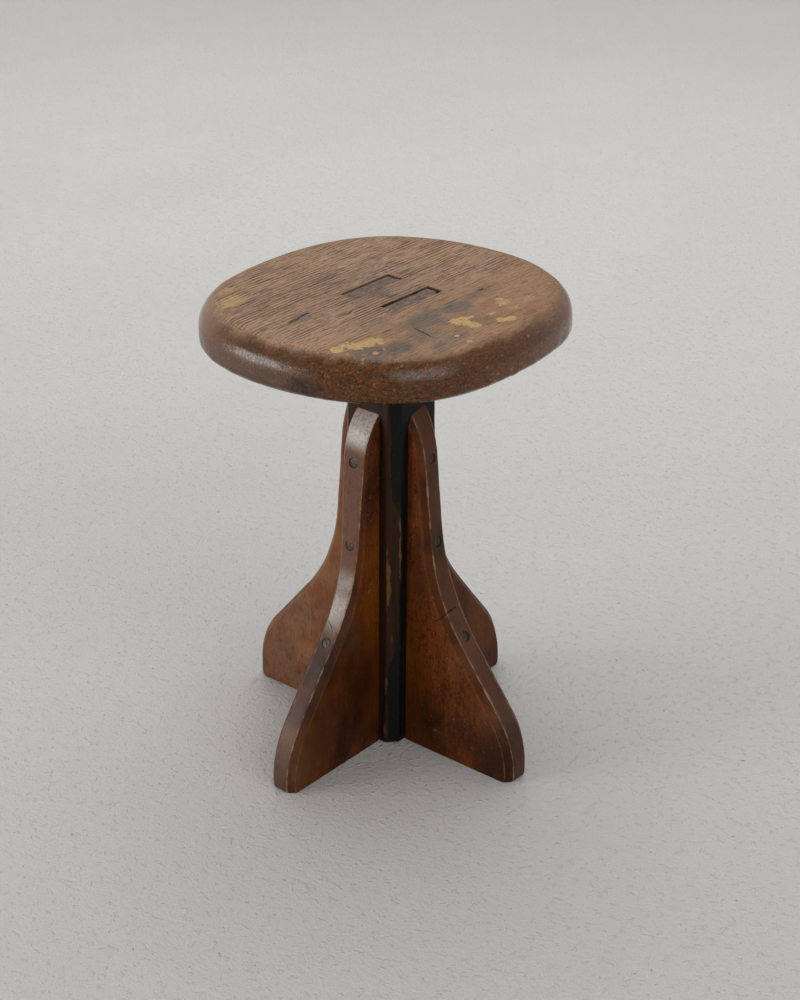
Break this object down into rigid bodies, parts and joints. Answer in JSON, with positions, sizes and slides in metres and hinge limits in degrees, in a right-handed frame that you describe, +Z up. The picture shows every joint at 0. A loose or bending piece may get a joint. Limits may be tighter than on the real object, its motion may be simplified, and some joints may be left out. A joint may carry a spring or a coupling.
{
  "type": "wooden stool",
  "caption": "Small wooden stool: a round plank seat tenoned onto a square post, held up by curved fin-shaped legs screwed to the post's faces, with a worn brown finish.",
  "frame": {"origin": "centre of the post's foot, on the floor", "axes": "+Z up along the post; +X along the front right fin, -Y along the front left fin; the seat's grain runs along Y"},
  "size_m": [0.32, 0.332, 0.45],
  "materials": {
    "seat_wood": "open-grained brown plank, waxed and worn, darker on the rim",
    "painted_wood": "black-green paint worn through to brown wood",
    "fin_wood": "warm red-brown varnish, rubbed grey-brown on the outer edges",
    "screw_steel": "dark, lightly rusted slotted steel"
  },
  "bodies": {
    "root": {"seat": "seat_wood", "post": "painted_wood", "fin_front_right": "fin_wood", "fin_front_left": "fin_wood", "fin_back_left": "fin_wood", "fin_back_right": "fin_wood", "screw_front_right_top": "screw_steel", "screw_front_right_middle": "screw_steel", "screw_front_right_low": "screw_steel", "screw_front_left_top": "screw_steel", "screw_front_left_middle": "screw_steel", "screw_front_left_low": "screw_steel", "screw_back_left_top": "screw_steel", "screw_back_left_middle": "screw_steel", "screw_back_left_low": "screw_steel", "screw_back_right_top": "screw_steel", "screw_back_right_middle": "screw_steel", "screw_back_right_low": "screw_steel"}
  },
  "joints": []
}
